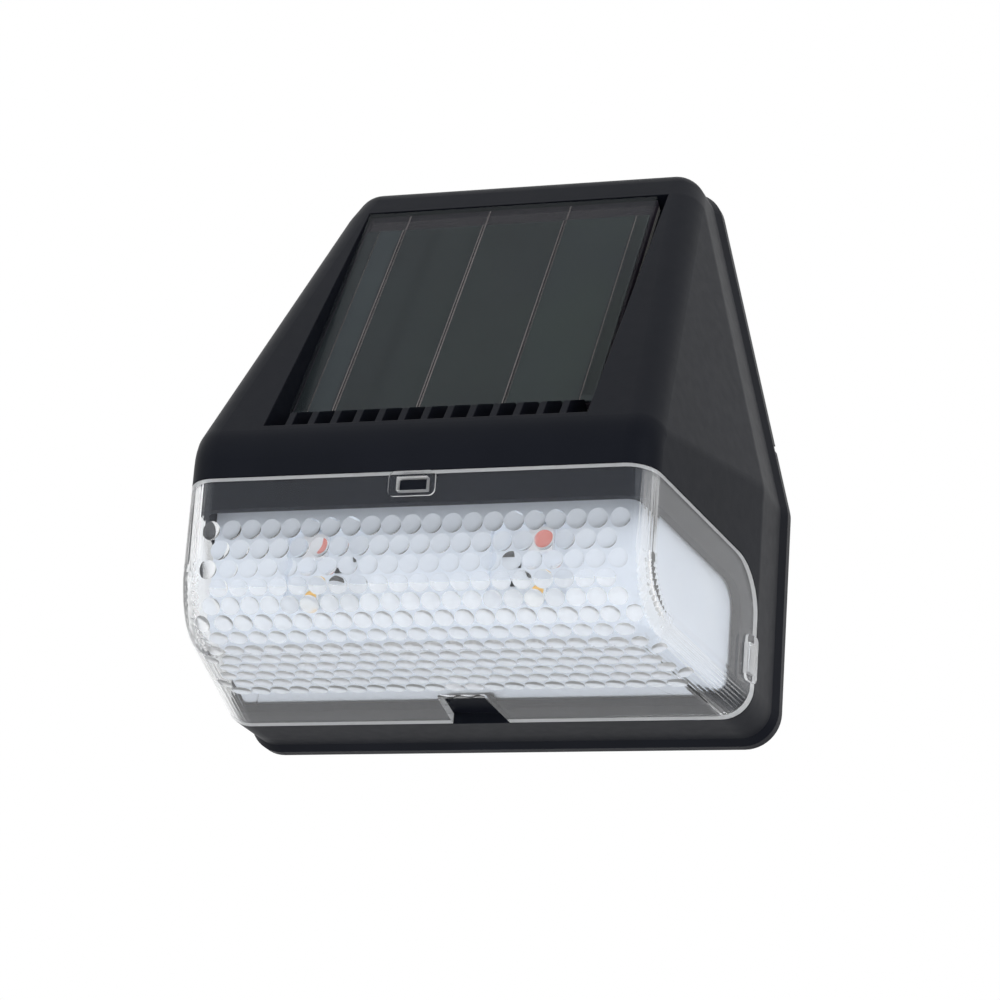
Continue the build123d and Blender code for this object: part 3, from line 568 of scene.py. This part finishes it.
def haze_and_painted_light_at(x, y, z, normal, on_bead):
    """How pale a face of the lens is made, by painted highlight, painted light and some real
    milkiness. The x is counted from the middle to either side.
    """
    seam = SEAM_BACK + (SEAM - SEAM_BACK) / (FRONT - SLAB) * (-y - SLAB)
    top = normal.z > 0.9 and z > seam - EDGE_BAND
    back = normal.y > 0.9 and y > -SLAB - EDGE_BAND
    bend = (normal.y > 0.1 and normal.z > 0.1 and y > -SLAB - BEND_REACH
            and z > SEAM_BACK - BEND_REACH)
    if top or back or bend:
        return EDGE_PAINTED_HIGHLIGHT
    top_window = (x < TOP_WINDOW_HALF and y < -FRONT + TOP_WINDOW_DEPTH
                  and z > SEAM - TOP_WINDOW_FALL and abs(normal.y) < 0.5)
    side_window = (x > SIDE_WINDOW_X and y > -SLAB - SIDE_WINDOW_DEPTH
                   and SIDE_WINDOW_LOW < z < SIDE_WINDOW_HIGH and abs(normal.x) < 0.5)
    if top_window or side_window:
        return WINDOW_PAINTED_HIGHLIGHT
    if on_bead:
        return BEAD_HAZE_AND_PAINTED_LIGHT if z > CORNER else LOW_BEAD_HAZE_AND_PAINTED_LIGHT
    in_corner = x > half_width(y) - EDGE - CORNER_BAND and 0.6 < abs(normal.x) < 0.95
    if in_corner and y < -SLAB - CORNER_START:
        return LIP_CORNER_PAINTED_LIGHT if z > SEAM - LIP_FALL else CORNER_PAINTED_LIGHT
    return 0.0


def mark_haze_and_painted_light(data, on_beads):
    """Store on each face of the lens how pale it is made, by painted highlight, painted light and
    some real milkiness.
    """
    mark = data.attributes.new(HAZE_AND_PAINTED_LIGHT, "FLOAT", "FACE")
    for polygon in data.polygons:
        x, y, z = (part / MM for part in polygon.center)
        mark.data[polygon.index].value = haze_and_painted_light_at(abs(x), y, z + DROP, polygon.normal,
                                                 polygon.index in on_beads)


def make_lens():
    """The clear lens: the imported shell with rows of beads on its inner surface."""
    packed = NODES["lens_cover"]
    lens = welded_copy(packed, "beaded_lens")
    beads, spheres = make_beads(lens)
    union = lens.modifiers.new("union", "BOOLEAN")
    union.operation = "UNION"
    union.solver = "MANIFOLD"
    union.object = beads
    bpy.context.view_layer.update()
    graph = bpy.context.evaluated_depsgraph_get()
    data = bpy.data.meshes.new_from_object(lens.evaluated_get(graph))
    lens.modifiers.clear()
    lens.data = data
    bpy.data.objects.remove(beads)
    data.materials.clear()
    data.materials.append(FINISHES["clear_lens"])
    mark_haze_and_painted_light(data, true_normals(data, packed.data, spheres))
    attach(lens, "lamp")
    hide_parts("lens_cover")
    lens.visible_shadow = False


# ---------------------------------------------------------------- stage
WORLD_LIGHT = 0.6                # strength of the surround where it lights
WORLD_SEEN = 1.0                 # and where it is seen, mirrored or looked at through the lens
FLOOR_HALF = 3.0                 # in metres
FLOOR_Z = -700
FLOOR_GLOW = 0.4                 # seen by the camera alone
AIM = (0, -30, 50)
LAMPS = [                        # name, place, width in metres and power in watts
    ("key", (-420, -520, 420), 0.5, 0.5),
    ("fill", (520, -420, 120), 0.5, 0.75),
    ("front", (60, -680, -140), 0.7, 0.55),
    ("under", (20, -200, -420), 0.5, 0.85),
]


def make_surround():
    """A white surround, which lights the part less than it shows."""
    world = bpy.data.worlds.new("surround")
    bpy.context.scene.world = world
    world.use_nodes = True
    tree = world.node_tree
    background = tree.nodes["Background"]
    path = add(tree, "ShaderNodeLightPath").outputs
    seen = math_node(tree, "MAXIMUM", path["Is Camera Ray"], path["Is Glossy Ray"])
    seen = math_node(tree, "MAXIMUM", seen, path["Is Transmission Ray"])
    feed(tree, background.inputs["Color"], WHITE)
    feed(tree, background.inputs["Strength"], mapped(tree, seen, WORLD_LIGHT, WORLD_SEEN))


def make_floor():
    """A pale floor far below the light, under the lowest lamp."""
    low = at(0, 0, FLOOR_Z).z
    mesh = bpy.data.meshes.new("floor")
    mesh.from_pydata([(-FLOOR_HALF, -FLOOR_HALF, low), (FLOOR_HALF, -FLOOR_HALF, low),
                      (FLOOR_HALF, FLOOR_HALF, low), (-FLOOR_HALF, FLOOR_HALF, low)], [],
                     [(0, 1, 2, 3)])
    floor = bpy.data.objects.new("floor", mesh)
    bpy.context.scene.collection.objects.link(floor)
    pale = surface("floor", (0.8, 0.8, 0.8), (0.84, 0.84, 0.84), (0.7, 0.85), blotch=3.0)
    tree = pale.node_tree
    shader = tree.nodes["Principled BSDF"]
    path = add(tree, "ShaderNodeLightPath").outputs
    feed(tree, shader.inputs["Emission Color"], WHITE)
    feed(tree, shader.inputs["Emission Strength"],
         mapped(tree, path["Is Camera Ray"], 0.0, FLOOR_GLOW))
    mesh.materials.append(pale)


def make_lamps():
    """Soft round lamps, all turned towards the light."""
    for name, place, width, power in LAMPS:
        data = bpy.data.lights.new(name, "AREA")
        data.shape = "DISK"
        data.size = width
        data.energy = power
        lamp = bpy.data.objects.new(name, data)
        lamp.location = at(*place)
        aim = at(*AIM) - lamp.location
        lamp.rotation_euler = aim.to_track_quat("-Z", "Y").to_euler()
        bpy.context.scene.collection.objects.link(lamp)


make_camera()
dress_nodes()
make_lens()
NODES["panel_face"].visible_shadow = False
make_surround()
make_floor()
make_lamps()
bpy.context.scene.view_settings.view_transform = "Standard"
